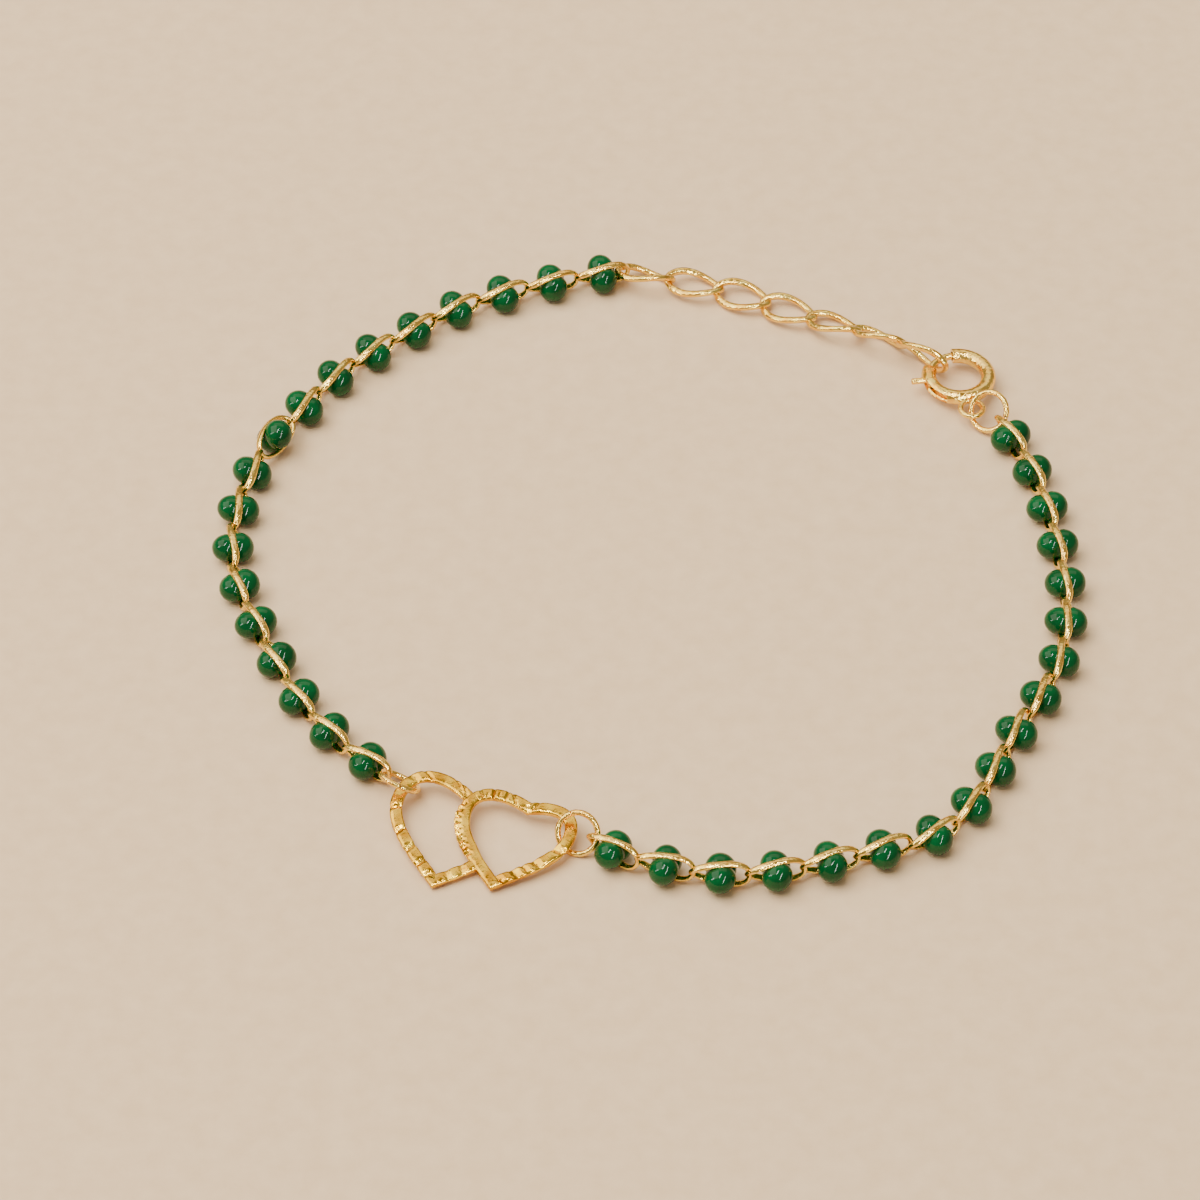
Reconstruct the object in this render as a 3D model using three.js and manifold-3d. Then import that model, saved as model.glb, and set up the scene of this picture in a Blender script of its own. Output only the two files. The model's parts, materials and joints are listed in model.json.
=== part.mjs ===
// A fine chain bracelet that lies closed on a surface: two lengths of curb chain with an enamel bead on every
// link, a cast charm of two overlapping hearts between them, and a spring ring clasp on an extender chain.
// Millimetres, +Z up. The origin is under the middle of the loop, on the surface that the bracelet lies on.
import * as THREE from "three";
import { mergeVertices } from "three/addons/utils/BufferGeometryUtils.js";
import { ParametricGeometry } from "three/addons/geometries/ParametricGeometry.js";
import Module from "manifold-3d";

const wasm = await Module();
wasm.setup();

// Bead chain: each link is an oval of wire that stands on edge, with its ends turned about the chain's line.
const LINK_HALF_LENGTH = 2.0; // at the middle of the wire, as the half height below
const LINK_WIRE = 0.36;
const LINK_HALF_HEIGHT = 1.0;
const LINK_END_TURN = THREE.MathUtils.degToRad(22);
const CHAIN_HEIGHT = 1.21; // the chain's line above the surface

// Enamel bead: a drop that fills the middle of its link and swells to a ball on both sides of the wire.
const BEAD_LENGTH = 2.0;
const BEAD_WIDTH = 3.0;
const BEAD_HEIGHT = 2.04;
const BEAD_SIDES = 10;
const BEAD_LOBE_MIDDLE = 0.5; // from the wire to the middle of a ball
const BEAD_GROOVE_FLOOR = 0.64; // half height of the bead under the wire
const BEAD_GROOVE_HALF_WIDTH = 0.34;
const BEAD_RINGS = [0, 0.58, 0.9]; // edges of the facets from a ball's end to its top, in its heights

// Extender: a curb chain of larger links that lies flat and rolls over towards the clasp.
const EXTENDER_PITCH = 3.78; // neighbouring links press into each other, so that the chain is one body
const EXTENDER_HALF_LENGTH = 2.095;
const EXTENDER_WIRE = 0.5;
const EXTENDER_HALF_WIDTH = 1.25;
const EXTENDER_ROLL_DEG = [-30, -5, 2, -3, -22, -42, -64]; // 0 is a link that lies flat, -90 one on edge

// Jump rings: plain rings of round wire.
const JUMP_RING_RADIUS = 1.42; // at the middle of the wire
const JUMP_RING_WIRE = 0.42;

// Charm: a small heart and a larger one that shows from behind it. Heights are above each heart's point.
const HEARTS = {
  small: {
    point: [0, 0],
    halfWidths: { left: 3.65, right: 3.9 },
    shoulder: 5.0,
    lobes: { left: 7.35, right: 7.1 },
    notch: [0.55, 6.5],
  },
  large: {
    point: [-3.85, -0.9],
    halfWidths: { left: 4.5, right: 4.5 },
    shoulder: 5.85,
    lobes: { left: 8.7, right: 7.6 },
    notch: [0.3, 7.1],
  },
};
const SIDE_FROM_POINT = { across: 0.42, up: 0.28 }; // how far a side heads out before it bends up
const SIDE_TO_SHOULDER = 0.62;
const LOBE_TO_NOTCH = 0.45; // where a lobe turns down to the notch, as a share of the way to its outside
const HEART_STEPS = 7; // straight stretches in each quarter of a heart
const BAND_WIDTH = 0.88;
const BAND_THICKNESS = 0.48;
const BAND_BEVEL = 0.1;
const BAND_SEAM = 0.22; // how far the large heart's band runs on under the edge of the small one's
const CHARM_TURN = THREE.MathUtils.degToRad(-17);
const CHARM_TILT = THREE.MathUtils.degToRad(6); // the lobes rest on the jump rings, the points on the surface

// Graver's cuts across the charm's face, between two shares of the way round a heart from its point.
const CUT_DEPTH = 0.15;
const CUT_LENGTH = 1.3 * BAND_WIDTH;
const CUTTER_SIDES = 4; // a square bar laid on edge leaves a V
const CUTS = [
  { heart: "large", from: 0.74, to: 0.92, count: 4, halfWidth: 0.3 },
  { heart: "large", from: 0.05, to: 0.085, count: 2, halfWidth: 0.3 },
  { heart: "large", from: 0.62, to: 0.62, count: 1, halfWidth: 0.3 },
  { heart: "small", from: 0.06, to: 0.2, count: 4, halfWidth: 0.3 },
  { heart: "small", from: 0.72, to: 0.81, count: 4, halfWidth: 0.18 },
  { heart: "small", from: 0.54, to: 0.65, count: 4, halfWidth: 0.18 },
];

// Spring ring clasp: a hollow ring with a gap that a sprung bolt closes, an eye, and the bolt's thumb knob.
const CLASP_RADIUS = 2.2; // at the middle of the tube
const CLASP_TUBE = 1.1;
const CLASP_BORE = 0.72;
const BOLT_WIRE = 0.54;
const CLASP_SIDES = 10;
const CLASP_STEP_DEG = 20;
const GAP_START_DEG = 100;
const GAP_END_DEG = 163;
const BOLT_TIP_DEG = 93; // the tip's seat in the far end of the tube
const BOLT_TAIL_DEG = 205;
const KNOB_DEG = 189;
const BOLT_TRAVEL_DEG = 60;
const BOLT_SIDES = 8;
const BORE_SPARE_DEG = 6; // the bore runs on past the bolt's tip, and past its tail when it is drawn back
const KNOB_WIRE = 0.46;
const KNOB_REACH = 3.55; // from the clasp's middle to the end of the knob
const SLOT_WIDTH = 0.84;
const SLOT_RADIUS = 2.6; // at the middle of the round slot
const SLOT_SIDES = 6;
const EYE_DEG = -76.5;
const EYE_RADIUS = 0.82;
const EYE_WIRE = 0.42;
const EYE_SEAM = 0.315; // how far the eye's wire is sunk into the tube
const CLASP_HEIGHT = 1.17; // the last link of the extender passes under the bolt

// Facets of the wires
const LINK_STEPS = 10;
const LINK_SIDES = 5;
const RING_STEP_DEG = 22.5;
const RING_SIDES = 6;

// Where the beads lie, seen from above, from the charm on, and how far each leans to the chain's left.
const BEAD_CHAINS = [
  {
    side: "left",
    from: { x: -17.5, y: -20.5 },
    beads: [
      { x: -19.4, y: -19.33, leanDeg: 5 },
      { x: -22.13, y: -16.57, leanDeg: 8 },
      { x: -24.36, y: -13.38, leanDeg: 14 },
      { x: -26.08, y: -9.9, leanDeg: 20 },
      { x: -27.69, y: -6.35, leanDeg: 0 },
      { x: -29.01, y: -2.77, leanDeg: 10 },
      { x: -29.67, y: 0.99, leanDeg: -2 },
      { x: -29.47, y: 4.8, leanDeg: -6 },
      { x: -28.66, y: 8.53, leanDeg: -20 },
      { x: -27.15, y: 12.02, z: 1.43, leanDeg: 50 },
      { x: -25.16, y: 15.26, leanDeg: -17 },
      { x: -22.98, y: 18.39, leanDeg: -20 },
      { x: -20.28, y: 21.1, leanDeg: -18 },
      { x: -17.3, y: 23.48, leanDeg: -20 },
      { x: -14.2, y: 25.72, leanDeg: -17 },
      { x: -10.72, y: 27.39, leanDeg: -18 },
      { x: -7.03, y: 28.6, leanDeg: -19 },
      { x: -3.25, y: 29.57, leanDeg: -19 },
    ],
    to: { x: 1.0, y: 30.3 },
  },
  {
    side: "right",
    from: { x: -3.9, y: -25.75 },
    beads: [
      { x: -2.5, y: -27.29, leanDeg: -3 },
      { x: 1.02, y: -28.65, leanDeg: -1 },
      { x: 4.73, y: -29.37, leanDeg: -4 },
      { x: 8.49, y: -29.15, leanDeg: -7 },
      { x: 12.17, y: -28.32, leanDeg: -3 },
      { x: 15.77, y: -27.23, leanDeg: -6 },
      { x: 19.29, y: -25.94, leanDeg: -11 },
      { x: 21.94, y: -23.28, leanDeg: -8 },
      { x: 23.77, y: -20.01, leanDeg: -2 },
      { x: 25.39, y: -16.63, leanDeg: -1 },
      { x: 27.27, y: -13.37, leanDeg: -2 },
      { x: 28.77, y: -9.92, leanDeg: -4 },
      { x: 29.48, y: -6.23, leanDeg: -3 },
      { x: 29.67, y: -2.47, leanDeg: 4 },
      { x: 29.36, y: 1.29, leanDeg: 1 },
      { x: 28.84, y: 5.03, leanDeg: 4 },
      { x: 27.98, y: 8.72, leanDeg: 2 },
      { x: 26.62, y: 12.25, leanDeg: 4 },
    ],
    to: { x: 24.9, y: 15.4 },
  },
];
const EXTENDER_ROUTE = [
  { x: -2.05, y: 29.99, z: 1.21 },
  { x: 5.0, y: 28.6, z: 0.69 },
  { x: 13.0, y: 25.1, z: 0.74 },
  { x: 19.18, y: 21.68, z: 1.38 },
  { x: 24.59, y: 17.08, z: 1.45 },
];
const CHARM_PLACE = new THREE.Vector3(-10.65, -29.65, 0.3); // the small heart's point
const CLASP_PLACE = new THREE.Vector2(23.12, 18.55);

// Jump rings: the middle of each ring and the way that it faces.
const JUMP_RINGS = [
  { name: "jump_ring_heart_left", x: -17.17, y: -21.1, z: 1.17, facing: [0.42, 0.52, 0.74] },
  { name: "jump_ring_heart_right", x: -4.91, y: -25.9, z: 1.3, facing: [-0.29, -0.71, 0.64] },
  { name: "jump_ring_clasp", x: 25.13, y: 14.58, z: 1.49, facing: [-0.48, -0.59, 0.65] },
];

const GOLD = new THREE.MeshStandardMaterial({ color: 0xd9a441, roughness: 0.25, metalness: 1 });
const ENAMEL = new THREE.MeshStandardMaterial({ color: 0x0b6b35, roughness: 0.15, metalness: 0 });

const WELD = 1e-4; // vertices this close are one
const ROUTE_SAMPLES = 400;

// Solids and geometries
function solidOf(geometry) {
  const bare = geometry.clone();
  bare.deleteAttribute("normal");
  bare.deleteAttribute("uv");
  const merged = mergeVertices(bare, WELD);
  const mesh = new wasm.Mesh({
    numProp: 3,
    vertProperties: merged.getAttribute("position").array,
    triVerts: new Uint32Array(merged.getIndex().array),
  });
  return new wasm.Manifold(mesh);
}

function geometryOf(solid) {
  const mesh = solid.getMesh();
  const geometry = new THREE.BufferGeometry();
  geometry.setAttribute("position", new THREE.BufferAttribute(mesh.vertProperties, 3));
  geometry.setIndex(new THREE.BufferAttribute(mesh.triVerts, 1));
  return geometry;
}

function fused(geometries) {
  return geometryOf(geometries.map(solidOf).reduce((whole, piece) => whole.add(piece)));
}

function namedMesh(name, geometry, material) {
  const mesh = new THREE.Mesh(geometry, material);
  mesh.name = name;
  return mesh;
}

// A round wire along a line: lineAt(share) gives a point of it and acrossAt(share) a unit vector across it.
function wireAlong(lineAt, acrossAt, diameter, sides, steps, isLoop) {
  const rows = isLoop ? steps : steps + 2; // an open wire has one more row at each end, which closes it
  const nudge = 1e-3;
  const surface = (around, along, target) => {
    const row = along * rows;
    const share = isLoop ? along : THREE.MathUtils.clamp((row - 1) / steps, 0, 1);
    const isCap = !isLoop && (row < 0.5 || row > rows - 0.5);
    const tangent = lineAt(share + nudge).sub(lineAt(share - nudge)).normalize();
    const across = acrossAt(share);
    const outward = new THREE.Vector3().crossVectors(tangent, across).normalize();
    const upright = new THREE.Vector3().crossVectors(outward, tangent);
    const angle = -around * 2 * Math.PI;
    const radius = isCap ? 0 : diameter / 2;
    target.copy(lineAt(share));
    target.addScaledVector(outward, radius * Math.cos(angle));
    target.addScaledVector(upright, radius * Math.sin(angle));
  };
  return new ParametricGeometry(surface, sides, rows);
}

function ringWire(radius, diameter, stepDeg, sides, fromDeg = 0, toDeg = 360) {
  const isLoop = toDeg - fromDeg >= 360;
  const steps = Math.ceil((toDeg - fromDeg) / stepDeg);
  const lineAt = (share) => {
    const angle = THREE.MathUtils.degToRad(fromDeg + share * (toDeg - fromDeg));
    return new THREE.Vector3(radius * Math.cos(angle), radius * Math.sin(angle), 0);
  };
  return wireAlong(lineAt, () => new THREE.Vector3(0, 0, 1), diameter, sides, steps, isLoop);
}

// A curb link along X, standing on edge. Its ends are turned about X, one each way.
function curbLink(halfLength, halfHeight, wire, sides) {
  const turnAt = (x) => (LINK_END_TURN * x) / halfLength;
  const flatAt = (share) => {
    const angle = share * 2 * Math.PI;
    return { x: halfLength * Math.cos(angle), rise: halfHeight * Math.sin(angle) };
  };
  const lineAt = (share) => {
    const { x, rise } = flatAt(share);
    return new THREE.Vector3(x, rise * Math.sin(turnAt(x)), rise * Math.cos(turnAt(x)));
  };
  const acrossAt = (share) => {
    const turn = turnAt(flatAt(share).x);
    return new THREE.Vector3(0, -Math.cos(turn), Math.sin(turn));
  };
  return wireAlong(lineAt, acrossAt, wire, sides, LINK_STEPS, true);
}

// Chains
function routeOf(places) {
  const points = places.map(({ x, y, z = CHAIN_HEIGHT }) => new THREE.Vector3(x, y, z));
  const route = new THREE.CatmullRomCurve3(points);
  route.arcLengthDivisions = ROUTE_SAMPLES;
  return route;
}

// The place of a link that heads ahead, rolled about that way.
function linkPlace(middle, ahead, roll) {
  const left = new THREE.Vector3(-ahead.y, ahead.x, 0).normalize();
  const up = new THREE.Vector3().crossVectors(ahead, left);
  const place = new THREE.Matrix4().makeBasis(ahead, left, up).setPosition(middle);
  return place.multiply(new THREE.Matrix4().makeRotationX(roll));
}

function enamelBead() {
  const halfHeight = BEAD_HEIGHT / 2;
  const halfWidth = BEAD_WIDTH / 2;
  const lobe = BEAD_RINGS.map((share) => ({
    radius: halfHeight * share,
    across: BEAD_LOBE_MIDDLE + (halfWidth - BEAD_LOBE_MIDDLE) * Math.sqrt(1 - share * share),
  }));
  lobe.push({ radius: halfHeight, across: BEAD_GROOVE_HALF_WIDTH });
  const nearSide = lobe.map(({ radius, across }) => new THREE.Vector2(radius, -across));
  const farSide = lobe.map(({ radius, across }) => new THREE.Vector2(radius, across)).reverse();
  const profile = [...nearSide, new THREE.Vector2(BEAD_GROOVE_FLOOR, 0), ...farSide];
  const geometry = new THREE.LatheGeometry(profile, BEAD_SIDES);
  geometry.scale(BEAD_LENGTH / BEAD_HEIGHT, 1, 1);

  // The bead is moulded round its link, so its groove turns with the wire.
  const position = geometry.getAttribute("position");
  for (let i = 0; i < position.count; i++) {
    const turn = (LINK_END_TURN * position.getX(i)) / LINK_HALF_LENGTH;
    const [y, z] = [position.getY(i), position.getZ(i)];
    position.setY(i, y * Math.cos(turn) + z * Math.sin(turn));
    position.setZ(i, z * Math.cos(turn) - y * Math.sin(turn));
  }
  return geometry;
}

function beadChain({ side, from, beads, to }) {
  const chain = new THREE.Group();
  const line = routeOf([from, ...beads, to]);
  const links = beads.map(({ leanDeg }, i) => {
    const share = (i + 1) / (beads.length + 1);
    const place = linkPlace(line.getPoint(share), line.getTangent(share), THREE.MathUtils.degToRad(-leanDeg));
    const bead = namedMesh(`bead_${side}_${String(i + 1).padStart(2, "0")}`, enamelBead(), ENAMEL);
    bead.applyMatrix4(place);
    chain.add(bead);
    return curbLink(LINK_HALF_LENGTH, LINK_HALF_HEIGHT, LINK_WIRE, LINK_SIDES).applyMatrix4(place);
  });
  chain.add(namedMesh(`bead_chain_${side}`, fused(links), GOLD));
  return chain;
}

function extenderChain() {
  const line = routeOf(EXTENDER_ROUTE);
  const links = EXTENDER_ROLL_DEG.map((rollDeg, i) => {
    const share = (EXTENDER_HALF_LENGTH + i * EXTENDER_PITCH) / line.getLength();
    const roll = THREE.MathUtils.degToRad(rollDeg - 90);
    const place = linkPlace(line.getPointAt(share), line.getTangentAt(share), roll);
    const link = curbLink(EXTENDER_HALF_LENGTH, EXTENDER_HALF_WIDTH, EXTENDER_WIRE, RING_SIDES);
    return link.applyMatrix4(place);
  });
  return namedMesh("extender_chain", fused(links), GOLD);
}

function jumpRing({ name, x, y, z, facing }) {
  const ring = namedMesh(name, ringWire(JUMP_RING_RADIUS, JUMP_RING_WIRE, RING_STEP_DEG, RING_SIDES), GOLD);
  const toward = new THREE.Vector3(...facing).normalize();
  ring.quaternion.setFromUnitVectors(new THREE.Vector3(0, 0, 1), toward);
  ring.position.set(x, y, z);
  return ring;
}

// Charm
// Half of a heart's middle line, from the point up the side and over the lobe to the notch.
function halfHeart(halfWidth, shoulder, lobeHeight, notch) {
  const bend = new THREE.Vector2(SIDE_FROM_POINT.across * halfWidth, SIDE_FROM_POINT.up * shoulder);
  const below = new THREE.Vector2(halfWidth, SIDE_TO_SHOULDER * shoulder);
  const widest = new THREE.Vector2(halfWidth, shoulder);
  const above = new THREE.Vector2(halfWidth, lobeHeight);
  const descent = new THREE.Vector2(THREE.MathUtils.lerp(notch[0], halfWidth, LOBE_TO_NOTCH), lobeHeight);
  const side = new THREE.CubicBezierCurve(new THREE.Vector2(), bend, below, widest);
  const lobe = new THREE.CubicBezierCurve(widest, above, descent, new THREE.Vector2(...notch));
  return [...side.getPoints(HEART_STEPS), ...lobe.getPoints(HEART_STEPS).slice(1)];
}

// A heart's middle line, from the point up its right side and down its left one.
function heartLine({ point, halfWidths, shoulder, lobes, notch }) {
  const right = halfHeart(halfWidths.right, shoulder, lobes.right, notch);
  const left = halfHeart(-halfWidths.left, shoulder, lobes.left, notch);
  const line = [...right, ...left.slice(1, -1).reverse()];
  return line.map((place) => place.clone().add(new THREE.Vector2(...point)));
}

// A heart's outline at a distance outside its middle line, or inside it where the distance is negative.
function heartOutline(heart, distance) {
  const line = heartLine(heart);
  return line.map((point, i) => {
    const arriving = point.clone().sub(line.at(i - 1)).normalize();
    const leaving = line[(i + 1) % line.length].clone().sub(point).normalize();
    const outward = new THREE.Vector2(arriving.y + leaving.y, -arriving.x - leaving.x);
    return point.clone().addScaledVector(outward, distance / (1 + arriving.dot(leaving)));
  });
}

function heartPlate(shape, thickness) {
  const plate = new THREE.ExtrudeGeometry(shape, {
    depth: thickness - 2 * BAND_BEVEL,
    bevelThickness: BAND_BEVEL,
    bevelSize: BAND_BEVEL,
    bevelOffset: -BAND_BEVEL,
    bevelSegments: 1,
  });
  return plate.translate(0, 0, BAND_BEVEL);
}

function heartBand(heart) {
  const shape = new THREE.Shape(heartOutline(heart, BAND_WIDTH / 2));
  shape.holes.push(new THREE.Path(heartOutline(heart, -BAND_WIDTH / 2)));
  return solidOf(heartPlate(shape, BAND_THICKNESS));
}

function cutters({ heart, from, to, count, halfWidth }) {
  const line = heartLine(HEARTS[heart]);
  return Array.from({ length: count }, (_, i) => {
    const place = THREE.MathUtils.lerp(from, to, count > 1 ? i / (count - 1) : 0) * line.length;
    const before = line[Math.floor(place)];
    const after = line[(Math.floor(place) + 1) % line.length];
    const middle = before.clone().lerp(after, place % 1);
    const cutter = new THREE.CylinderGeometry(halfWidth, halfWidth, CUT_LENGTH, CUTTER_SIDES);
    cutter.scale(1, 1, CUT_DEPTH / halfWidth);
    cutter.rotateZ(after.clone().sub(before).angle());
    cutter.translate(middle.x, middle.y, BAND_THICKNESS);
    return solidOf(cutter);
  });
}

function heartCharm() {
  const { small, large } = HEARTS;
  const inFront = new THREE.Shape(heartOutline(small, BAND_WIDTH / 2 - BAND_SEAM));
  const cutter = heartPlate(inFront, BAND_THICKNESS + 2 * BAND_WIDTH).translate(0, 0, -BAND_WIDTH);
  const behind = heartBand(large).subtract(solidOf(cutter));
  const bands = heartBand(small).add(behind);
  const whole = CUTS.flatMap(cutters).reduce((body, cut) => body.subtract(cut), bands);
  const charm = namedMesh("heart_charm", geometryOf(whole), GOLD);
  charm.rotation.set(CHARM_TILT, 0, CHARM_TURN, "ZXY");
  charm.position.copy(CHARM_PLACE);
  return charm;
}

// Clasp
function claspTube(radius, diameter, sides, fromDeg, toDeg) {
  return solidOf(ringWire(radius, diameter, CLASP_STEP_DEG, sides, fromDeg, toDeg));
}

function claspBody() {
  const tube = claspTube(CLASP_RADIUS, CLASP_TUBE, CLASP_SIDES, GAP_END_DEG, GAP_START_DEG + 360);
  const boreFromDeg = GAP_END_DEG - BORE_SPARE_DEG;
  const boreToDeg = BOLT_TAIL_DEG + BOLT_TRAVEL_DEG + BORE_SPARE_DEG;
  const bore = claspTube(CLASP_RADIUS, CLASP_BORE, CLASP_SIDES, boreFromDeg, boreToDeg);
  const seatFromDeg = BOLT_TIP_DEG - BORE_SPARE_DEG;
  const seat = claspTube(CLASP_RADIUS, CLASP_BORE, CLASP_SIDES, seatFromDeg, GAP_START_DEG + BORE_SPARE_DEG);
  const halfSlotDeg = THREE.MathUtils.radToDeg(SLOT_WIDTH / 2 / CLASP_RADIUS);
  const slotToDeg = KNOB_DEG + BOLT_TRAVEL_DEG + halfSlotDeg;
  const slot = claspTube(SLOT_RADIUS, SLOT_WIDTH, SLOT_SIDES, KNOB_DEG - halfSlotDeg, slotToDeg);
  const eyeDistance = CLASP_RADIUS + CLASP_TUBE / 2 + EYE_RADIUS + EYE_WIRE / 2 - EYE_SEAM;
  const eyeAngle = THREE.MathUtils.degToRad(EYE_DEG);
  const eye = ringWire(EYE_RADIUS, EYE_WIRE, RING_STEP_DEG, RING_SIDES);
  eye.translate(eyeDistance * Math.cos(eyeAngle), eyeDistance * Math.sin(eyeAngle), 0);
  const body = tube.subtract(bore).subtract(seat).subtract(slot).add(solidOf(eye));
  return namedMesh("clasp_ring", geometryOf(body), GOLD);
}

function claspBolt() {
  const bolt = ringWire(CLASP_RADIUS, BOLT_WIRE, CLASP_STEP_DEG, BOLT_SIDES, BOLT_TIP_DEG, BOLT_TAIL_DEG);
  const knobLength = KNOB_REACH - CLASP_RADIUS;
  const knob = new THREE.CylinderGeometry(KNOB_WIRE / 2, KNOB_WIRE / 2, knobLength, BOLT_SIDES);
  knob.rotateZ(Math.PI / 2);
  knob.translate(CLASP_RADIUS + knobLength / 2, 0, 0);
  knob.rotateZ(THREE.MathUtils.degToRad(KNOB_DEG));
  return namedMesh("clasp_bolt", fused([bolt, knob]), GOLD);
}

function springRingClasp() {
  const clasp = new THREE.Group();
  clasp.add(claspBody(), claspBolt());
  clasp.position.set(CLASP_PLACE.x, CLASP_PLACE.y, CLASP_HEIGHT);
  return clasp;
}

// The whole bracelet, moved so that the middle of its box is over the origin
const loop = new THREE.Group();
loop.add(...BEAD_CHAINS.map(beadChain));
loop.add(heartCharm(), ...JUMP_RINGS.map(jumpRing), extenderChain(), springRingClasp());
const box = new THREE.Box3().setFromObject(loop, true);
const middle = box.getCenter(new THREE.Vector3());
loop.position.set(-middle.x, -middle.y, -box.min.z);

const bracelet = new THREE.Group();
bracelet.add(loop);

export default bracelet;
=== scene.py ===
import json
import math

import bmesh
import bpy
import numpy as np
from mathutils import Matrix, Vector
from mathutils.geometry import interpolate_bezier


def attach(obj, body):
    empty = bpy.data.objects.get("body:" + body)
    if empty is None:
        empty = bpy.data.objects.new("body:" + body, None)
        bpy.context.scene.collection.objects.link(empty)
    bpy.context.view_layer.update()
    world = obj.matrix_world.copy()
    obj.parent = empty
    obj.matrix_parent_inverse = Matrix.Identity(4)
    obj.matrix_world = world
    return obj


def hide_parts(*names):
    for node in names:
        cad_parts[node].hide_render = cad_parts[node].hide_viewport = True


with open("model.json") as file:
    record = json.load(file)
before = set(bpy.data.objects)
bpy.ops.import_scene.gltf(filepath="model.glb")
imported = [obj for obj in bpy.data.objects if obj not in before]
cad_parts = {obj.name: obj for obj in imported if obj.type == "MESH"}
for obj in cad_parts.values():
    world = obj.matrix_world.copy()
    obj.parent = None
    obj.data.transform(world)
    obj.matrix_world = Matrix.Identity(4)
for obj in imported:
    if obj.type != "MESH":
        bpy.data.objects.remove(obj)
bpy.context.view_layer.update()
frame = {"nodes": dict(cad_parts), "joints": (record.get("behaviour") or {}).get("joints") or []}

# Bead chains
# Two lengths of fine curb chain: brass wire bent to ovals, turned at the ends, soldered shut and gilt.
# Each link stands on edge, hooked into the next, and is rolled broad where it lies over its bead.
MM = 0.001
BEADS_PER_SIDE = 18
LINK_HALF_LENGTH = 2.0 * MM
LINK_HALF_HEIGHT = 1.0 * MM
LINK_WIRE = 0.36 * MM
LINK_BREADTH = 1.5  # of the rolled stretch, in wires, as its thickness is
LINK_THICKNESS = 0.85
LINK_END_TURN = math.radians(22)
ROLLED_DEPTH = 0.6  # how far under the wire's middle the rolls take hold, in wires
ROLLED_FADE = 0.5  # how far the rolled form runs out along the link, in half lengths
QUARTER_SECTIONS = 14  # sections of wire in each quarter of a link
SECTION_ROUNDING = 4


def only(piece):
    """Leave one piece selected and active."""
    bpy.ops.object.select_all(action="DESELECT")
    piece.select_set(True)
    bpy.context.view_layer.objects.active = piece


def select_points(piece, wanted):
    """Open a piece for editing with the points selected whose place is wanted."""
    only(piece)
    bpy.ops.object.mode_set(mode="EDIT")
    bpy.ops.mesh.select_mode(type="VERT")
    bpy.ops.mesh.select_all(action="DESELECT")
    shape = bmesh.from_edit_mesh(piece.data)
    for point in shape.verts:
        point.select = wanted(point.co)
    shape.select_flush_mode()
    bmesh.update_edit_mesh(piece.data)


def apply_modifier(piece, kind, **settings):
    """Add a modifier with its settings and apply it."""
    only(piece)
    modifier = piece.modifiers.new(kind, kind)
    for name, value in settings.items():
        setattr(modifier, name, value)
    bpy.ops.object.modifier_apply(modifier=modifier.name)


def curb_link(half_length, half_height, wire, breadth, thickness):
    """One oval link that stands on edge along X, rolled broad above and below, its ends turned."""
    bpy.ops.object.select_all(action="DESELECT")
    bpy.ops.curve.primitive_bezier_circle_add(radius=half_length)
    link = bpy.context.object
    link.scale.y = half_height / half_length
    link.rotation_euler.x = math.pi / 2
    bpy.ops.object.transform_apply(properties=False)
    link.data.bevel_depth = wire / 2
    link.data.bevel_resolution = SECTION_ROUNDING
    link.data.resolution_u = QUARTER_SECTIONS
    bpy.ops.object.convert(target="MESH")
    for side in (1, -1):
        select_points(link, lambda place: place.z * side > half_height - ROLLED_DEPTH * wire)
        bpy.ops.transform.resize(
            value=(1, breadth, thickness),
            center_override=(0, 0, side * half_height),
            use_proportional_edit=True,
            proportional_edit_falloff="SMOOTH",
            proportional_size=ROLLED_FADE * half_length,
        )
        bpy.ops.object.mode_set(mode="OBJECT")
    length = 2 * half_length + wire
    turn = -2 * LINK_END_TURN * length / (2 * half_length)
    apply_modifier(link, "SIMPLE_DEFORM", deform_method="TWIST", deform_axis="X", angle=turn)
    bpy.ops.object.shade_smooth()
    return link


def bead_place(name):
    """Where a bead's link stands: its balls to the left and right, its chain ahead."""
    points = np.array([vertex.co for vertex in frame["nodes"][name].data.vertices])
    spread = np.linalg.norm(points[:, None] - points[None], axis=2)
    one, other = np.unravel_index(spread.argmax(), spread.shape)
    left = Vector(points[one] - points[other]).normalized()
    ahead = left.cross((0, 0, 1)).normalized()
    turn = Matrix((ahead, left, ahead.cross(left))).transposed().to_4x4()
    return Matrix.Translation(Vector(points[one] + points[other]) / 2) @ turn


def copy_at(pattern, name, place):
    """A copy of a pattern with its own mesh, which holds its place."""
    copy = bpy.data.objects.new(name, pattern.data.copy())
    copy.data.transform(place)
    bpy.context.scene.collection.objects.link(copy)
    return copy


def join(pieces, name):
    """Several meshes as one piece."""
    bpy.ops.object.select_all(action="DESELECT")
    for piece in pieces:
        piece.select_set(True)
    bpy.context.view_layer.objects.active = pieces[0]
    if len(pieces) > 1:
        bpy.ops.object.join()
    pieces[0].name = pieces[0].data.name = name
    return pieces[0]


def linear(colour):
    """An sRGB hex colour as linear red, green, blue and alpha."""
    shares = [int(colour[place : place + 2], 16) / 255 for place in (1, 3, 5)]
    return *[s / 12.92 if s <= 0.04045 else ((s + 0.055) / 1.055) ** 2.4 for s in shares], 1.0


def per_mm(size):
    """The scale of a pattern whose features are this many millimetres across."""
    return 1000 / size


def add_node(material, kind, inputs, **settings):
    """Add a node to a material with its settings, values and links."""
    node = material.node_tree.nodes.new(kind)
    for name, value in settings.items():
        setattr(node, name, value)
    for name, value in inputs.items():
        if isinstance(value, bpy.types.NodeSocket):
            material.node_tree.links.new(value, node.inputs[name])
        else:
            node.inputs[name].default_value = value
    return node


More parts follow.
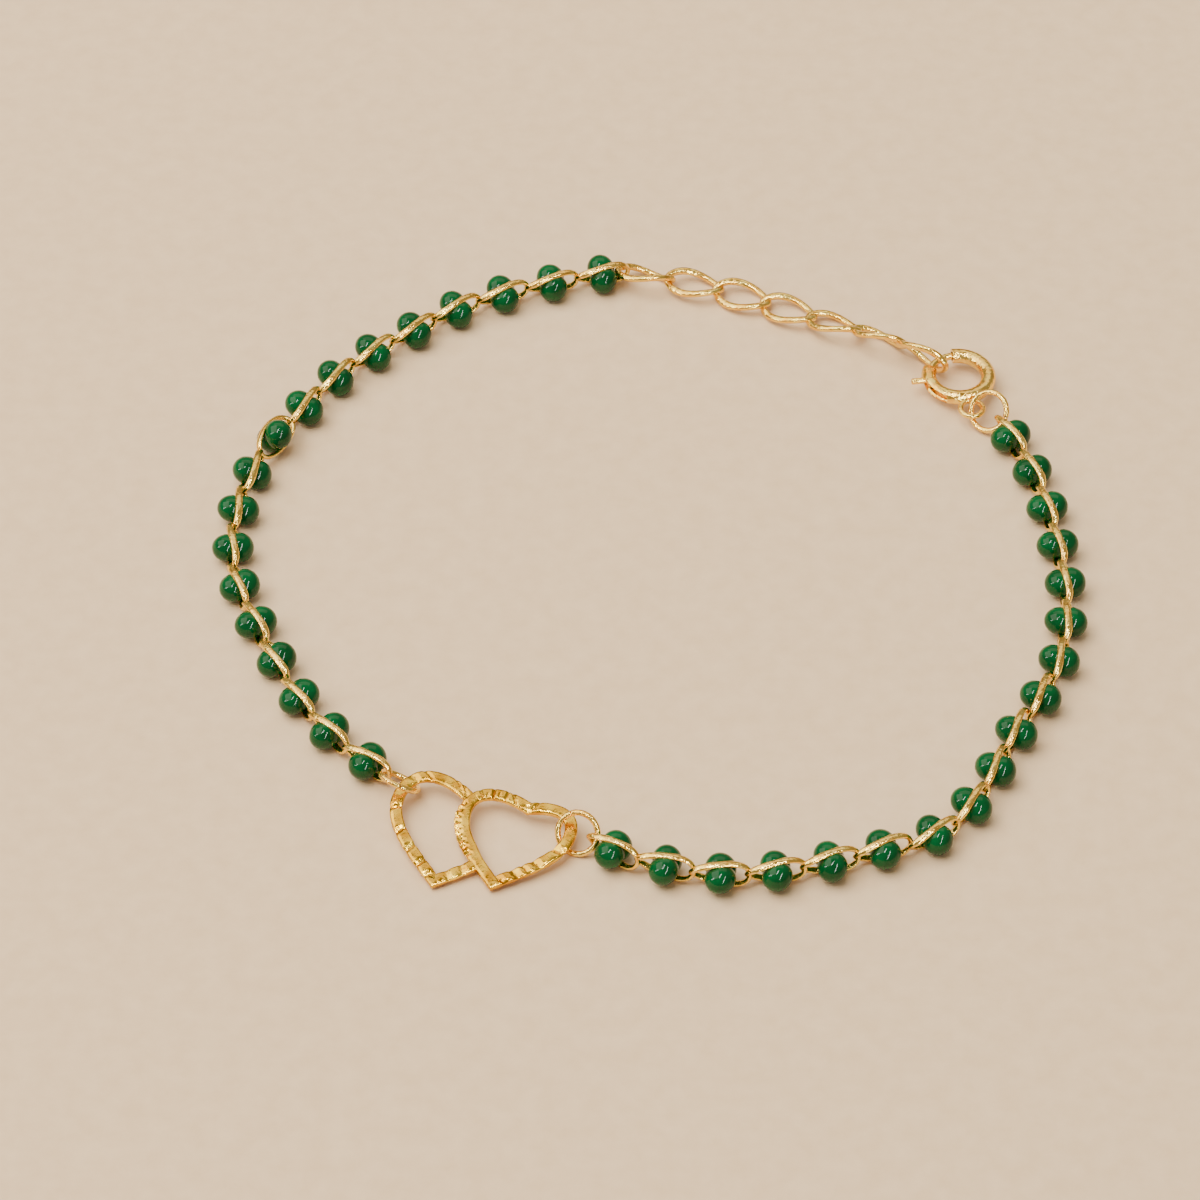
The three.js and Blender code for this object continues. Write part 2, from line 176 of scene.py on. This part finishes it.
def new_material(name):
    """An empty material with its shader, and the object's own coordinates."""
    material = bpy.data.materials.new(name)
    material.use_nodes = True
    shader = material.node_tree.nodes["Principled BSDF"]
    place = add_node(material, "ShaderNodeTexCoord", {}).outputs["Object"]
    return material, shader, place


def ramp(material, factor, stops):
    """A colour that follows a pattern, from stops of position and sRGB hex."""
    node = add_node(material, "ShaderNodeValToRGB", {"Fac": factor})
    for stop, (position, colour) in zip(node.color_ramp.elements, stops.items()):
        stop.position = position
        stop.color = linear(colour)
    return node.outputs["Color"]


def gilt(name, light, deep, polished, dull, tarnish, grain, dents):
    """Gilt brass: two colours, roughness from polished to dull, and in mm its patches, grain and dents."""
    material, shader, place = new_material(name)
    link = material.node_tree.links.new
    patches = add_node(material, "ShaderNodeTexNoise", {"Vector": place, "Scale": per_mm(tarnish), "Detail": 3})
    colour = ramp(material, patches.outputs["Fac"], {0.35: deep, 0.7: light})
    fine = add_node(material, "ShaderNodeTexNoise", {"Vector": place, "Scale": per_mm(grain), "Detail": 2})
    sheen = add_node(
        material,
        "ShaderNodeMapRange",
        {"Value": fine.outputs["Fac"], "From Min": 0.3, "From Max": 0.7, "To Min": polished, "To Max": dull},
    )
    bump = add_node(
        material, "ShaderNodeBump", {"Height": fine.outputs["Fac"], "Strength": 1.0, "Distance": dents * MM}
    )
    link(colour, shader.inputs["Base Color"])
    link(sheen.outputs["Result"], shader.inputs["Roughness"])
    link(bump.outputs["Normal"], shader.inputs["Normal"])
    shader.inputs["Metallic"].default_value = 1.0
    return material


# Gilt brass, tumbled: bright along the wire, warmer and duller where the wash is thin.
chain_gilt = gilt(
    "gilt_brass_tumbled",
    light="#FFE27A",
    deep="#F2BF56",
    polished=0.1,
    dull=0.28,
    tarnish=0.7,
    grain=0.26,
    dents=0.05,
)

link_pattern = curb_link(LINK_HALF_LENGTH, LINK_HALF_HEIGHT, LINK_WIRE, LINK_BREADTH, LINK_THICKNESS)
for side in ("left", "right"):
    beads = [f"bead_{side}_{number:02d}" for number in range(1, BEADS_PER_SIDE + 1)]
    links = [copy_at(link_pattern, f"link_{bead}", bead_place(bead)) for bead in beads]
    chain = join(links, f"curb_chain_{side}")
    chain.data.materials.append(chain_gilt)
    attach(chain, "bracelet")
    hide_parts(f"bead_chain_{side}")
bpy.data.objects.remove(link_pattern)

# Enamel beads
# A drop of green glass enamel fired on every link, so that it swells to a ball on either side of the wire
# and draws in under it. Each drop runs a little differently.
BEAD_LENGTH = 2.1 * MM
BEAD_HEIGHT = 2.06 * MM
BALL_MIDDLE = 0.46 * MM  # from the wire to the middle of each ball
BEAD_VALLEY = 0.16 * MM  # how far the glass has run together under the wire
BEAD_SEAM = 0.001 * MM  # points this near the middle are on the valley's line
BEAD_SPREAD = 0.025  # how much the drops differ in size
SPREAD_STEP = 2.4  # radians from one drop's size to the next one's
SPREAD_PHASES = (0, 2, 4)  # for a drop's length, width and height
CLOUD_SIZE = 1.4  # mm
RIPPLE_SIZE = 0.7  # mm
RIPPLE_DEPTH = 0.004 * MM

bpy.ops.object.select_all(action="DESELECT")
bpy.ops.mesh.primitive_uv_sphere_add(segments=48, ring_count=32, radius=BEAD_LENGTH / 2)
bead_pattern = bpy.context.object
bead_pattern.scale.y = BEAD_HEIGHT / BEAD_LENGTH
bead_pattern.rotation_euler.x = math.pi / 2
bead_pattern.location.y = BALL_MIDDLE
bpy.ops.object.transform_apply()
bpy.ops.object.mode_set(mode="EDIT")
bpy.ops.mesh.select_all(action="SELECT")
bpy.ops.mesh.bisect(plane_co=(0, 0, 0), plane_no=(0, 1, 0), clear_inner=True)
bpy.ops.object.mode_set(mode="OBJECT")
apply_modifier(bead_pattern, "MIRROR", use_axis=(False, True, False), merge_threshold=BEAD_SEAM)
select_points(bead_pattern, lambda place: abs(place.y) < BEAD_SEAM)
bpy.ops.mesh.bevel(offset=BEAD_VALLEY, segments=4, affect="EDGES")
bpy.ops.mesh.select_all(action="SELECT")
bpy.ops.mesh.normals_make_consistent(inside=False)
bpy.ops.object.mode_set(mode="OBJECT")
bead_turn = -2 * LINK_END_TURN * BEAD_LENGTH / (2 * LINK_HALF_LENGTH)
apply_modifier(bead_pattern, "SIMPLE_DEFORM", deform_method="TWIST", deform_axis="X", angle=bead_turn)
bpy.ops.object.shade_smooth()

# Vitreous enamel, fired glossy: deep emerald that clouds slightly, under a clear wet gloss.
enamel, shader, place = new_material("vitreous_enamel_emerald")
clouds = add_node(enamel, "ShaderNodeTexNoise", {"Vector": place, "Scale": per_mm(CLOUD_SIZE), "Detail": 4})
colour = ramp(enamel, clouds.outputs["Fac"], {0.3: "#003F1A", 0.72: "#00582B"})
ripple = add_node(enamel, "ShaderNodeTexNoise", {"Vector": place, "Scale": per_mm(RIPPLE_SIZE), "Detail": 1})
bump = add_node(
    enamel, "ShaderNodeBump", {"Height": ripple.outputs["Fac"], "Strength": 1.0, "Distance": RIPPLE_DEPTH}
)
enamel.node_tree.links.new(colour, shader.inputs["Base Color"])
enamel.node_tree.links.new(bump.outputs["Normal"], shader.inputs["Normal"])
shader.inputs["Roughness"].default_value = 0.06
shader.inputs["IOR"].default_value = 1.52
shader.inputs["Specular IOR Level"].default_value = 0.24  # stays deep green between its bright strokes

for side in ("left", "right"):
    for number in range(1, BEADS_PER_SIDE + 1):
        node = f"bead_{side}_{number:02d}"
        runs = [1 + BEAD_SPREAD * math.sin(SPREAD_STEP * number + phase) for phase in SPREAD_PHASES]
        place = bead_place(node) @ Matrix.Diagonal((*runs, 1))
        drop = copy_at(bead_pattern, f"enamel_{side}_{number:02d}", place)
        drop.data.materials.append(enamel)
        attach(drop, "bracelet")
        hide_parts(node)
bpy.data.objects.remove(bead_pattern)

# Double heart charm
# Two overlapping open hearts cast as one flat piece and gilt. The bands are cut across with a graver,
# so that bright notches run round the satin face. It is shaped in millimetres, and scaled as it is laid down.
BAND_WIDTH = 0.88
BAND_THICKNESS = 0.48
FACE_ROUNDNESS = 0.62  # 1 is a round wire, 0 a sharp-edged strip
BACK_ROUNDNESS = 0.42
LARGE_BAND_SINK = 0.03  # the large heart runs on under the small one
QUARTER_STEPS = 160
BAND_SIDES = 44
MITRE_REACH = 1.2  # how far from a corner the sections still lean into its mitre
WIDENING = 1.2  # how far a wider stretch takes to reach its width
SIDE_ACROSS, SIDE_UP = 0.42, 0.28  # how far a side heads out from the point before it bends up
SIDE_TO_SHOULDER = 0.62
LOBE_TO_NOTCH = 0.45  # where a lobe turns down to the notch
CRISP_EDGE = math.radians(28)
CHARM_POINT = (-10.65, -29.745, 0.287)
CHARM_TURN = math.radians(-17)
CHARM_TILT = math.radians(6)
HEARTS = {
    "small": dict(
        point=(0, 0), left=3.65, right=3.9, shoulder=5.0, left_lobe=7.35, right_lobe=7.1, notch=(0.55, 6.5)
    ),
    "large": dict(
        point=(-3.85, -0.9), left=4.5, right=4.5, shoulder=5.85, left_lobe=8.7, right_lobe=7.6, notch=(0.3, 7.1)
    ),
}
BAND_WIDE = {"small": (15.6, 20.9, 1.12), "large": (0, 0, BAND_WIDTH)}  # a wider stretch: its ends and width
# Cuts: how far round from the heart's point each is, then half width, depth, lean, and the edges that they run
# between, as shares of the way from the band's middle to its outside.
CUTS = {
    "small": (
        ((0.5, 1.66, 3.3, 5.1), 0.38, 0.2, 0.25, -1, 1),
        ((2.45,), 0.2, 0.14, 0.25, -1, 1),
        ((10.7, 11.2), 0.14, 0.14, -1.0, -1, 1),
        ((12.27,), 0.16, 0.16, 0.8, -1, 1),
        ((12.89, 13.81, 14.66), 0.13, 0.12, 0, -1, 1),
        ((13.35, 14.25, 15.1), 0.09, 0.08, 0, -1, 0),
        ((16.0, 16.5, 17.0, 17.47, 17.93, 18.38, 18.93, 19.5, 20.1), 0.24, 0.2, 0, 0.15, 1),
    ),
    "large": (
        ((0.92, 2.03), 0.3, 0.16, -0.3, -1, 1),
        ((13.05, 13.6), 0.2, 0.14, 1.9, -1, 1),
        ((16.16,), 0.16, 0.14, 0.8, -1, 1),
        ((17.24,), 0.4, 0.14, 0.3, -1, 1),
        ((19.98, 21.95, 23.58, 25.01), 0.26, 0.22, 0.15, -1, 1),
        ((26.26,), 0.45, 0.18, 0, -1, 1),
    ),
}
CUT_NOTCH = 0.5  # how far a cut bites into the band's edges, in cut depths
CUT_FADE = 0.3  # the share of the band over which a short cut runs out


def heart_line(point, left, right, shoulder, left_lobe, right_lobe, notch):
    """Points round a heart from its point, up the right side, over both lobes and down the left."""
    halves = []
    for half_width, lobe in ((right, right_lobe), (-left, left_lobe)):
        end = Vector((half_width, shoulder, 0))
        out = Vector((SIDE_ACROSS * half_width, SIDE_UP * shoulder, 0))
        rise = (half_width, SIDE_TO_SHOULDER * shoulder, 0)
        side = interpolate_bezier((0, 0, 0), out, rise, end, QUARTER_STEPS + 1)
        turn = (notch[0] + LOBE_TO_NOTCH * (half_width - notch[0]), lobe, 0)
        top = interpolate_bezier(end, (half_width, lobe, 0), turn, (*notch, 0), QUARTER_STEPS + 1)
        halves.append(side[:-1] + top)
    line = halves[0][:-1] + halves[1][:0:-1]
    return np.array([(place.x + point[0], place.y + point[1]) for place in line])


def heart_band(name):
    """A heart's band with its cuts, shaped from a ring whose every section is laid across the heart's line."""
    line = heart_line(**HEARTS[name])
    count = len(line)
    steps = np.linalg.norm(np.roll(line, -1, axis=0) - line, axis=1)
    along = np.concatenate([[0], np.cumsum(steps)[:-1]])
    ahead = np.roll(line, -1, axis=0) - np.roll(line, 1, axis=0)
    ahead /= np.linalg.norm(ahead, axis=1)[:, None]
    outward = np.column_stack([ahead[:, 1], -ahead[:, 0]])
    mitre = np.ones(count)
    slant = np.zeros(count)
    for corner in (0, count // 2):
        before = line[corner] - line[corner - 1]
        after = line[corner + 1] - line[corner]
        bend = math.atan2(before[0] * after[1] - before[1] * after[0], before @ after)
        mitre[corner] = 1 / math.cos(bend / 2)
        for offset in range(-count // 4, count // 4):
            place = (corner + offset) % count
            away = abs(along[place] - along[corner])
            away = min(away, steps.sum() - away) / MITRE_REACH
            if offset and away < 1:
                slant[place] = np.sign(offset) * math.tan(bend / 2) * (1 - away * away * (3 - 2 * away))
    first, last, widest = BAND_WIDE[name]
    stretch = np.clip(np.minimum(along - first, last - along) / WIDENING, 0, 1)
    half_widths = (BAND_WIDTH + (widest - BAND_WIDTH) * stretch) / 2

    bpy.ops.object.select_all(action="DESELECT")
    ring_radius = 2
    bpy.ops.mesh.primitive_torus_add(
        major_segments=count, minor_segments=BAND_SIDES, major_radius=ring_radius, minor_radius=1
    )
    band = bpy.context.object
    sink = LARGE_BAND_SINK if name == "large" else 0
    for vertex in band.data.vertices:
        x, y, z = vertex.co
        place = round(math.atan2(y, x) / (2 * math.pi) * count) % count
        section = math.atan2(z, math.hypot(x, y) - ring_radius)
        roundness = FACE_ROUNDNESS if section > 0 else BACK_ROUNDNESS
        edge = math.copysign(abs(math.cos(section)) ** roundness, math.cos(section))
        rise = math.copysign(abs(math.sin(section)) ** roundness, math.sin(section))
        across = edge * half_widths[place]
        bite = 0
        for middles, half_width, depth, lean, inner, outer in CUTS[name]:
            off = min(abs(along[place] - middle - lean * across) for middle in middles) / half_width
            if off < 1 and inner <= edge <= outer:
                fade = 1 if inner == -1 else min(1, (edge - inner) / CUT_FADE)
                bite = max(bite, (1 - off) * depth * fade)
        across *= 1 - CUT_NOTCH * bite
        if rise > 0:
            rise -= rise * bite * 2 / BAND_THICKNESS
        reach = across * mitre[place]
        flat = line[place] + reach * (outward[place] + slant[place] * ahead[place])
        vertex.co = (*flat, (rise + 1) * (BAND_THICKNESS / 2 - sink) + sink)
    return band


# Gilt brass, satin from the mould and bright in the cuts: a soft yellow glow with fine grain.
charm_gilt = gilt(
    "gilt_brass_satin",
    light="#FCD24A",
    deep="#CE951F",
    polished=0.12,
    dull=0.3,
    tarnish=1.2,
    grain=0.3,
    dents=0.03,
)

small_heart = heart_band("small")
large_heart = heart_band("large")
for heart in (small_heart, large_heart):
    heart.data.materials.append(charm_gilt)

# The large heart stops at the middle of the small one's band, so that the small one's window stays open.
CUTTER_FOOT = -1
CUTTER_HEIGHT = 3
bpy.ops.object.select_all(action="DESELECT")
small_line = heart_line(**HEARTS["small"])
bpy.ops.mesh.primitive_circle_add(vertices=len(small_line), fill_type="NGON")
cutter = bpy.context.object
cutter.data.materials.append(charm_gilt)
for vertex, place in zip(cutter.data.vertices, small_line):
    vertex.co = (*place, CUTTER_FOOT)
only(cutter)
bpy.ops.object.mode_set(mode="EDIT")
bpy.ops.mesh.select_all(action="SELECT")
bpy.ops.mesh.extrude_region_move(TRANSFORM_OT_translate={"value": (0, 0, CUTTER_HEIGHT)})
bpy.ops.mesh.select_all(action="SELECT")
bpy.ops.mesh.normals_make_consistent(inside=False)
bpy.ops.object.mode_set(mode="OBJECT")
apply_modifier(large_heart, "BOOLEAN", operation="DIFFERENCE", object=cutter, solver="MANIFOLD")
apply_modifier(small_heart, "BOOLEAN", operation="UNION", object=large_heart, solver="MANIFOLD")
bpy.data.objects.remove(cutter)
bpy.data.objects.remove(large_heart)
charm = join([small_heart], "double_heart")
lie = Matrix.Rotation(CHARM_TURN, 4, "Z") @ Matrix.Rotation(CHARM_TILT, 4, "X")
charm.data.transform(Matrix.Scale(MM, 4) @ Matrix.Translation(CHARM_POINT) @ lie)
bpy.ops.object.shade_smooth_by_angle(angle=CRISP_EDGE)

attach(charm, "bracelet")
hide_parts("heart_charm")

# Jump rings
# Three open rings of round gilt wire, bent shut by pliers: two hold the charm, one the clasp's eye.
# The two ends meet in a hairline joint.
RING_RADIUS = 1.42 * MM
RING_WIRE = 0.42 * MM
RING_JOINT = math.radians(1.6)
RING_JOINT_TURN = {"heart_left": 2.2, "heart_right": 1.0, "clasp": 3.0}  # radians round each ring
RING_STEPS = 80
RING_END_BEVEL = 0.04 * MM
WIRE_SIDES = 20
WELD = 1e-7
BEVELLED_EDGE = math.radians(50)
SMOOTH_EDGE = math.radians(40)


def bent_wire(radius, wire, start, end, steps):
    """A round wire bent to an arc about Z, with closed ends. Spin turns clockwise without a window."""
    bpy.ops.object.select_all(action="DESELECT")
    bpy.ops.mesh.primitive_circle_add(
        vertices=WIRE_SIDES,
        radius=wire / 2,
        fill_type="NGON",
        location=(radius * math.cos(start), radius * math.sin(start), 0),
        rotation=(math.pi / 2, 0, start),
    )
    arc = bpy.context.object
    bpy.ops.object.transform_apply()
    bpy.ops.object.mode_set(mode="EDIT")
    bpy.ops.mesh.select_all(action="SELECT")
    bpy.ops.mesh.spin(steps=steps, angle=start - end, center=(0, 0, 0), axis=(0, 0, 1))
    bpy.ops.mesh.select_all(action="SELECT")
    bpy.ops.mesh.remove_doubles(threshold=WELD)
    bpy.ops.mesh.normals_make_consistent(inside=False)
    bpy.ops.object.mode_set(mode="OBJECT")
    return arc


def round_edges(piece, width, segments):
    """Bevel a piece's sharp edges."""
    apply_modifier(
        piece, "BEVEL", width=width, segments=segments, limit_method="ANGLE", angle_limit=BEVELLED_EDGE
    )


ring_pattern = bent_wire(RING_RADIUS, RING_WIRE, RING_JOINT / 2, 2 * math.pi - RING_JOINT / 2, RING_STEPS)
round_edges(ring_pattern, RING_END_BEVEL, 2)
bpy.ops.object.shade_smooth_by_angle(angle=SMOOTH_EDGE)
for name, joint_turn in RING_JOINT_TURN.items():
    points = np.array([vertex.co for vertex in frame["nodes"][f"jump_ring_{name}"].data.vertices])
    points = np.unique(points.round(7), axis=0)
    middle = points.mean(axis=0)
    facing = Vector(np.linalg.svd(points - middle)[2][2])
    turn = facing.to_track_quat("Z", "Y").to_matrix().to_4x4() @ Matrix.Rotation(joint_turn, 4, "Z")
    ring = copy_at(ring_pattern, f"wire_ring_{name}", Matrix.Translation(middle) @ turn)
    ring.data.materials.append(chain_gilt)
    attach(ring, "bracelet")
    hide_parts(f"jump_ring_{name}")
bpy.data.objects.remove(ring_pattern)

# Extender chain
# Seven larger curb links of thicker gilt wire, so that the wearer can choose where the clasp hooks in.
# Its links roll over one after another as it lies. Sizes are in millimetres, and scaled as links are laid.
EXTENDER_HALF_LENGTH = 2.095
EXTENDER_HALF_WIDTH = 1.25
EXTENDER_WIRE = 0.5
EXTENDER_BREADTH = 1.0  # in wires, as its thickness is
EXTENDER_THICKNESS = 1.2
EXTENDER_PITCH = 3.78
EXTENDER_ROLL_DEG = (-30, -5, 2, -3, -22, -42, -64)  # 0 is a link that lies flat, -90 one on edge
EXTENDER_ROUTE = (
    (-2.05, 29.895, 1.197),
    (5.0, 28.505, 0.677),
    (13.0, 25.005, 0.727),
    (19.18, 21.585, 1.367),
    (24.59, 16.985, 1.437),
)
ROUTE_SAMPLES = 100
HEADING_STEP = 0.01  # how far fore and aft a link's heading is taken


def smooth_route(points):
    """Many points on a smooth line through a few: a centripetal Catmull-Rom curve."""
    knots = [Vector(point) for point in points]
    knots = [2 * knots[0] - knots[1], *knots, 2 * knots[-1] - knots[-2]]
    samples = []
    for before, start, end, after in zip(knots, knots[1:], knots[2:], knots[3:]):
        spans = ((before, start), (start, end), (end, after))
        first, step, last = [math.sqrt((far - near).length) for near, far in spans]
        leave = step * ((start - before) / first - (end - before) / (first + step) + (end - start) / step)
        arrive = step * ((end - start) / step - (after - start) / (step + last) + (after - end) / last)
        samples += interpolate_bezier(start, start + leave / 3, end - arrive / 3, end, ROUTE_SAMPLES)[:-1]
    return np.array(samples + [knots[-2]])


extender_pattern = curb_link(
    EXTENDER_HALF_LENGTH * MM,
    EXTENDER_HALF_WIDTH * MM,
    EXTENDER_WIRE * MM,
    EXTENDER_BREADTH,
    EXTENDER_THICKNESS,
)
route = smooth_route(EXTENDER_ROUTE)
travel = np.concatenate([[0], np.cumsum(np.linalg.norm(np.diff(route, axis=0), axis=1))])
links = []
for number, roll in enumerate(EXTENDER_ROLL_DEG):
    distance = EXTENDER_HALF_LENGTH + number * EXTENDER_PITCH
    here, fore, aft = [
        Vector([np.interp(distance + step, travel, route[:, axis]) for axis in range(3)])
        for step in (0, HEADING_STEP, -HEADING_STEP)
    ]
    ahead = (fore - aft).normalized()
    left = Vector((-ahead.y, ahead.x, 0)).normalized()
    turn = Matrix((ahead, left, ahead.cross(left))).transposed().to_4x4()
    place = Matrix.Translation(here * MM) @ turn @ Matrix.Rotation(math.radians(roll - 90), 4, "X")
    links.append(copy_at(extender_pattern, f"extender_link_{number + 1}", place))
extender = join(links, "extender_links")
extender.data.materials.append(chain_gilt)
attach(extender, "bracelet")
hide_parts("extender_chain")
bpy.data.objects.remove(extender_pattern)

# Clasp ring
# The hollow ring of a spring ring clasp, drawn from gilt tube, open between two ends, with a slot for the
# bolt's knob and a small eye soldered to its outside.
clasp_middle = Vector(frame["joints"][0]["pos_m"])
CLASP_RADIUS = 2.2 * MM
CLASP_TUBE = 1.1 * MM
CLASP_BORE = 0.72 * MM
CLASP_GAP = (math.radians(100), math.radians(163))
BORE_ENDS = (math.radians(87), math.radians(271))
SLOT_RADIUS = 2.6 * MM
SLOT_WIDTH = 0.84 * MM
SLOT_ENDS = (math.radians(189), math.radians(249))
EYE_TURN = math.radians(-76.5)
EYE_RADIUS = 0.82 * MM
EYE_WIRE = 0.42 * MM
EYE_REACH = 3.465 * MM
CLASP_STEPS = 96
BORE_STEPS = 64
SLOT_STEPS = 24
EYE_STEPS = 48

clasp = bent_wire(CLASP_RADIUS, CLASP_TUBE, CLASP_GAP[1], CLASP_GAP[0] + 2 * math.pi, CLASP_STEPS)
bore = bent_wire(CLASP_RADIUS, CLASP_BORE, *BORE_ENDS, BORE_STEPS)
slot = bent_wire(SLOT_RADIUS, SLOT_WIDTH, *SLOT_ENDS, SLOT_STEPS)
eye = bent_wire(EYE_RADIUS, EYE_WIRE, 0, 2 * math.pi, EYE_STEPS)
eye.data.transform(Matrix.Translation((EYE_REACH * math.cos(EYE_TURN), EYE_REACH * math.sin(EYE_TURN), 0)))
for cutter in (bore, slot):
    apply_modifier(clasp, "BOOLEAN", operation="DIFFERENCE", object=cutter, solver="EXACT")
    bpy.data.objects.remove(cutter)
apply_modifier(clasp, "BOOLEAN", operation="UNION", object=eye, solver="EXACT")
bpy.data.objects.remove(eye)
clasp.data.transform(Matrix.Translation(clasp_middle))
clasp = join([clasp], "spring_ring")
bpy.ops.object.shade_smooth_by_angle(angle=SMOOTH_EDGE)
clasp.data.materials.append(chain_gilt)
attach(clasp, "bracelet")
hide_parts("clasp_ring")

# Clasp bolt
# The sprung bolt that closes the ring: a bent gilt wire that slides in the tube, with a thumb knob
# soldered through the slot.
BOLT_WIRE = 0.54 * MM
BOLT_ENDS = (math.radians(93), math.radians(205))
KNOB_TURN = math.radians(189)
KNOB_WIRE = 0.46 * MM
KNOB_REACH = 3.55 * MM
KNOB_SIDES = 24
BOLT_STEPS = 48
BOLT_BEVEL = 0.1 * MM

bolt = bent_wire(CLASP_RADIUS, BOLT_WIRE, *BOLT_ENDS, BOLT_STEPS)
round_edges(bolt, BOLT_BEVEL, 3)
bpy.ops.object.select_all(action="DESELECT")
knob_middle = (CLASP_RADIUS + KNOB_REACH) / 2
bpy.ops.mesh.primitive_cylinder_add(
    vertices=KNOB_SIDES,
    radius=KNOB_WIRE / 2,
    depth=KNOB_REACH - CLASP_RADIUS,
    location=(knob_middle * math.cos(KNOB_TURN), knob_middle * math.sin(KNOB_TURN), 0),
    rotation=(0, math.pi / 2, KNOB_TURN),
)
knob = bpy.context.object
bpy.ops.object.transform_apply()
round_edges(knob, BOLT_BEVEL, 3)
apply_modifier(bolt, "BOOLEAN", operation="UNION", object=knob, solver="EXACT")
bpy.data.objects.remove(knob)
bolt.data.transform(Matrix.Translation(clasp_middle))
bolt = join([bolt], "sprung_bolt")
bpy.ops.object.shade_smooth_by_angle(angle=SMOOTH_EDGE)
bolt.data.materials.append(chain_gilt)
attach(bolt, "bolt")
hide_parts("clasp_bolt")

# Floor, light and camera
# A plain pale sheet under a soft overhead light, with panels at the side and back for the gold to mirror
# and narrow strips that draw bright strokes in the enamel, seen from above the charm.
FLOOR_SIZE = 3
FIBRE_SIZE = 1.5  # mm
bpy.ops.object.select_all(action="DESELECT")
bpy.ops.mesh.primitive_plane_add(size=FLOOR_SIZE)
floor = join([bpy.context.object], "floor")
# Matt paper: warm and even, with faint fibres and no gloss.
paper, shader, place = new_material("matt_paper_warm_white")
fibres = add_node(paper, "ShaderNodeTexNoise", {"Vector": place, "Scale": per_mm(FIBRE_SIZE), "Detail": 5})
colour = ramp(paper, fibres.outputs["Fac"], {0.3: "#DBBE97", 0.7: "#E2C8A2"})
paper.node_tree.links.new(colour, shader.inputs["Base Color"])
shader.inputs["Roughness"].default_value = 0.9
floor.data.materials.append(paper)


def soft_box(name, place, size, watts, colour, lean_deg=0):
    """A rectangular light that faces the bracelet, turned about the way it faces."""
    bpy.ops.object.light_add(type="AREA", location=place)
    light = bpy.context.object
    light.name = name
    light.data.shape = "RECTANGLE"
    light.data.size, light.data.size_y = size
    light.data.energy = watts
    light.data.color = linear(colour)[:3]
    light.rotation_euler = (Vector((0, 0, 0)) - Vector(place)).to_track_quat("-Z", "Y").to_euler()
    light.rotation_euler.rotate_axis("Z", math.radians(lean_deg))
    return light


overhead = soft_box("window", place=(-0.3, 0.0, 0.95), size=(0.9, 0.9), watts=15, colour="#FFF6EA")
overhead.visible_glossy = False  # it lights the bracelet, and is not mirrored in it
soft_box("side_panel", place=(-0.65, 0.05, 0.75), size=(1.0, 0.8), watts=8, colour="#FFF6EA")
soft_box("back_panel", place=(0.0, 0.66, 0.82), size=(1.2, 0.6), watts=2.9, colour="#FFF4E4")
STRIP_WIDTH = 0.03
STRIPS = {  # place, length, watts and lean
    "strip_right": ((0.28, -0.6, 0.58), 1.0, 7.5, -36),
    "strip_middle": ((-0.12, -0.19, 0.83), 0.5, 4.2, 0),
    "strip_left": ((-0.78, -0.24, 0.39), 0.4, 1.8, -20),
}
for name, (place, length, watts, lean_deg) in STRIPS.items():
    strip = soft_box(name, place, (STRIP_WIDTH, length), watts, "#FFFFFF", lean_deg)
    strip.visible_diffuse = False  # it is only mirrored
world = bpy.data.worlds.new("studio")
bpy.context.scene.world = world
world.use_nodes = True
backdrop = world.node_tree.nodes["Background"].inputs
backdrop["Color"].default_value = linear("#EFE0CC")
backdrop["Strength"].default_value = 0.42

CAMERA_TARGET = Vector((-3.4, -3.095, -0.013)) * MM
CAMERA_DISTANCE = 356 * MM
CAMERA_ELEVATION = math.radians(46.9)
CAMERA_LENS = 150
CAMERA_SENSOR = 36
CAMERA_CLIP_START = 10 * MM
back = Vector((0, -math.cos(CAMERA_ELEVATION), math.sin(CAMERA_ELEVATION)))
bpy.ops.object.camera_add(
    location=CAMERA_TARGET + CAMERA_DISTANCE * back,
    rotation=(math.pi / 2 - CAMERA_ELEVATION, 0, 0),
)
camera = bpy.context.object
camera.data.lens = CAMERA_LENS
camera.data.sensor_width = CAMERA_SENSOR
camera.data.clip_start = CAMERA_CLIP_START
bpy.context.scene.camera = camera
